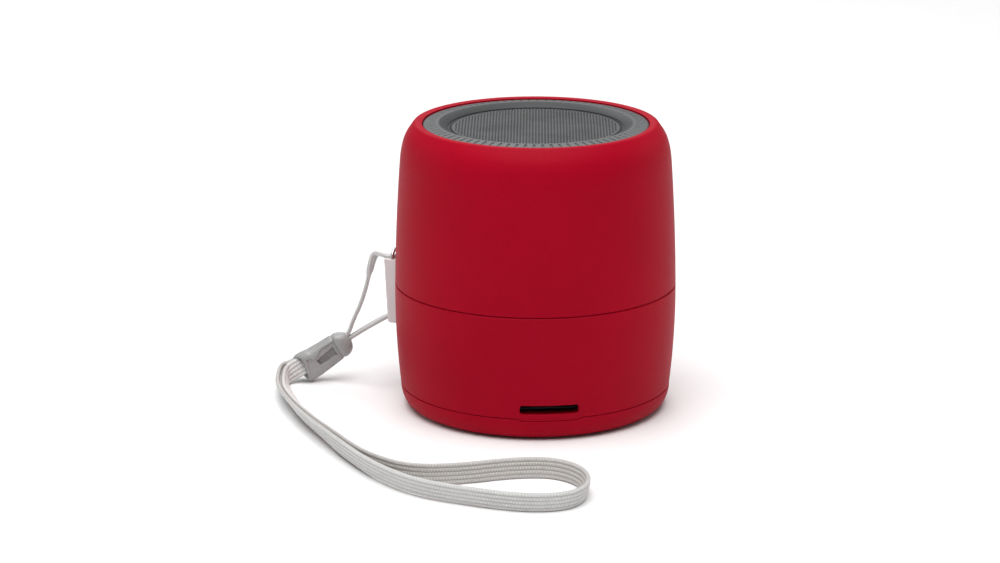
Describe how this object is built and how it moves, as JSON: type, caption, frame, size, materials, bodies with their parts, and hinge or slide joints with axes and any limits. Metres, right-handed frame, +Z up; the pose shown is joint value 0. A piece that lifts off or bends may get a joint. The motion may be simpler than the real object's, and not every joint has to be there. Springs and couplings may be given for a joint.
{
  "type": "portable wireless speaker",
  "caption": "Small round portable wireless speaker with a perforated top grille, rear keys, memory card slot and a flat wrist strap on a side bracket.",
  "frame": {"origin": "centre of the resting foot, on the surface that the speaker stands on", "axes": "+Z up through the grille; the memory card slot faces -Y and the keys face +Y; the strap bracket is on the -X side, 150 degrees from +X"},
  "size_m": [0.0853, 0.1027, 0.062],
  "materials": {
    "body_red": "soft-touch satin",
    "key_red": "matt",
    "white_plastic": "satin",
    "black_plastic": "fine grain",
    "grille_grey": "satin",
    "mesh_grey": "perforated, satin",
    "foot_rubber": "matt",
    "bail_steel": "bright",
    "screw_steel": "zinc plated",
    "basket_paint": "matt black",
    "ferrite": "dull",
    "motor_steel": "zinc plated",
    "foam": "open foam",
    "surround_rubber": "satin",
    "cone_paper": "pressed paper",
    "copper_winding": "lacquered wire",
    "former_foil": "satin",
    "spider_cloth": "impregnated weave",
    "board_green": "solder mask",
    "shield_steel": "tinned",
    "chip_black": "moulded",
    "capacitor_can": "satin can",
    "cell_foil": "laminated foil",
    "wire_insulation": "satin",
    "clear_plastic": "clear",
    "dust_cloth_black": "fine weave",
    "lace_grey": "braided",
    "tape_grey": "woven",
    "ferrule_grey": "satin"
  },
  "bodies": {
    "speaker": {"upper_shell": "body_red", "lower_shell": "body_red", "base_cap": "body_red", "base_screws": "screw_steel", "foot_pad": "foot_rubber", "mid_frame": "black_plastic", "strap_bail": "bail_steel", "strap_bracket": "white_plastic", "grille_ring": "grille_grey", "grille_mesh": "mesh_grey", "dust_cloth": "dust_cloth_black", "driver_carrier": "black_plastic", "carrier_screws": "screw_steel", "driver_basket": "basket_paint", "driver_gasket": "foam", "driver_screws": "screw_steel", "driver_surround": "surround_rubber", "driver_spider": "spider_cloth", "spider_ring": "cone_paper", "driver_top_plate": "motor_steel", "driver_magnet": "ferrite", "driver_yoke": "motor_steel", "driver_terminals": "board_green", "main_board": "board_green", "board_screws": "screw_steel", "card_socket": "black_plastic", "usb_socket": "shield_steel", "power_switch_body": "black_plastic", "status_light": "clear_plastic", "light_pipe": "clear_plastic", "wireless_module": "shield_steel", "amplifier_chips": "chip_black", "board_capacitors": "capacitor_can", "battery_pad": "foam", "battery_cell": "cell_foil", "battery_leads": "wire_insulation", "speaker_plug": "white_plastic", "speaker_leads": "wire_insulation", "key_board": "board_green", "key_frame": "black_plastic", "key_switches": "shield_steel", "ferrule_sleeve": "ferrule_grey", "ferrule_cap": "ferrule_grey", "strap_lace": "lace_grey", "strap_tape": "tape_grey"},
    "diaphragm": {"driver_cone": "cone_paper", "driver_dust_cap": "cone_paper", "voice_coil_former": "former_foil", "voice_coil": "copper_winding"},
    "switch_knob": {"power_switch_knob": "black_plastic"},
    "play_key": {"play_button": "key_red"},
    "volume_up_key": {"volume_up_button": "key_red"},
    "volume_down_key": {"volume_down_button": "key_red"}
  },
  "joints": [
    {"name": "diaphragm_stroke", "type": "slide", "parent": "speaker", "child": "diaphragm", "axis": [0, 0, 1], "range_m": [-0.0005, 0.0005], "stiffness_N_per_m": 1500, "deforming": ["driver_surround", "driver_spider"]},
    {"name": "power_switch_slide", "type": "slide", "parent": "speaker", "child": "switch_knob", "axis": [-0.9135, 0.4067, 0], "range_m": [0, 0.002]},
    {"name": "play_press", "type": "slide", "parent": "speaker", "child": "play_key", "axis": [0, -1, 0], "range_m": [0, 0.0003], "stiffness_N_per_m": 1500},
    {"name": "volume_up_press", "type": "slide", "parent": "speaker", "child": "volume_up_key", "axis": [0, -1, 0], "range_m": [0, 0.0003], "stiffness_N_per_m": 1500},
    {"name": "volume_down_press", "type": "slide", "parent": "speaker", "child": "volume_down_key", "axis": [0, -1, 0], "range_m": [0, 0.0003], "stiffness_N_per_m": 1500}
  ]
}
